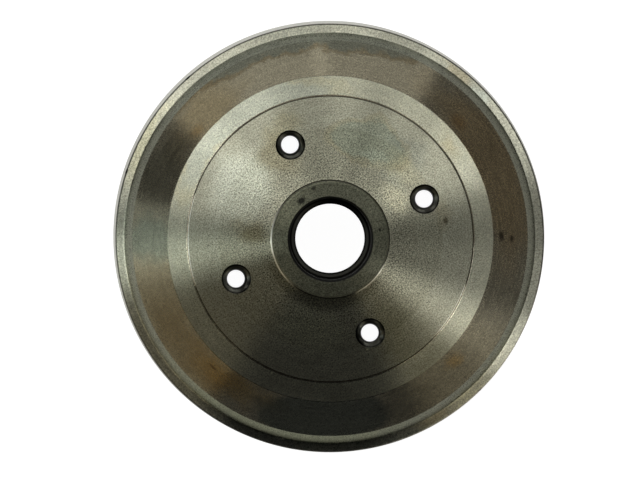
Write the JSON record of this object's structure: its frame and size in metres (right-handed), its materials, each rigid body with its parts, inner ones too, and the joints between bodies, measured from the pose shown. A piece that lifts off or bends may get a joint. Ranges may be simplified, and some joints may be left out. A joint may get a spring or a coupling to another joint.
{
  "type": "brake drum",
  "caption": "Rear brake drum cast in one piece with its hub: raised centring spigot, ring of wheel bolt holes, coned shoulder, stiffening band and stepped bearing bore.",
  "frame": {"origin": "centre of the open rim's plane, which the drum stands on", "axes": "+Z along the axle line, out of the wheel face; a wheel bolt hole lies on +X and on +Y"},
  "size_m": [0.218, 0.218, 0.0615],
  "materials": {
    "cast_iron": "turned grey iron, lightly oiled, with brown stains"
  },
  "bodies": {
    "root": {"brake_drum": "cast_iron"}
  },
  "joints": []
}
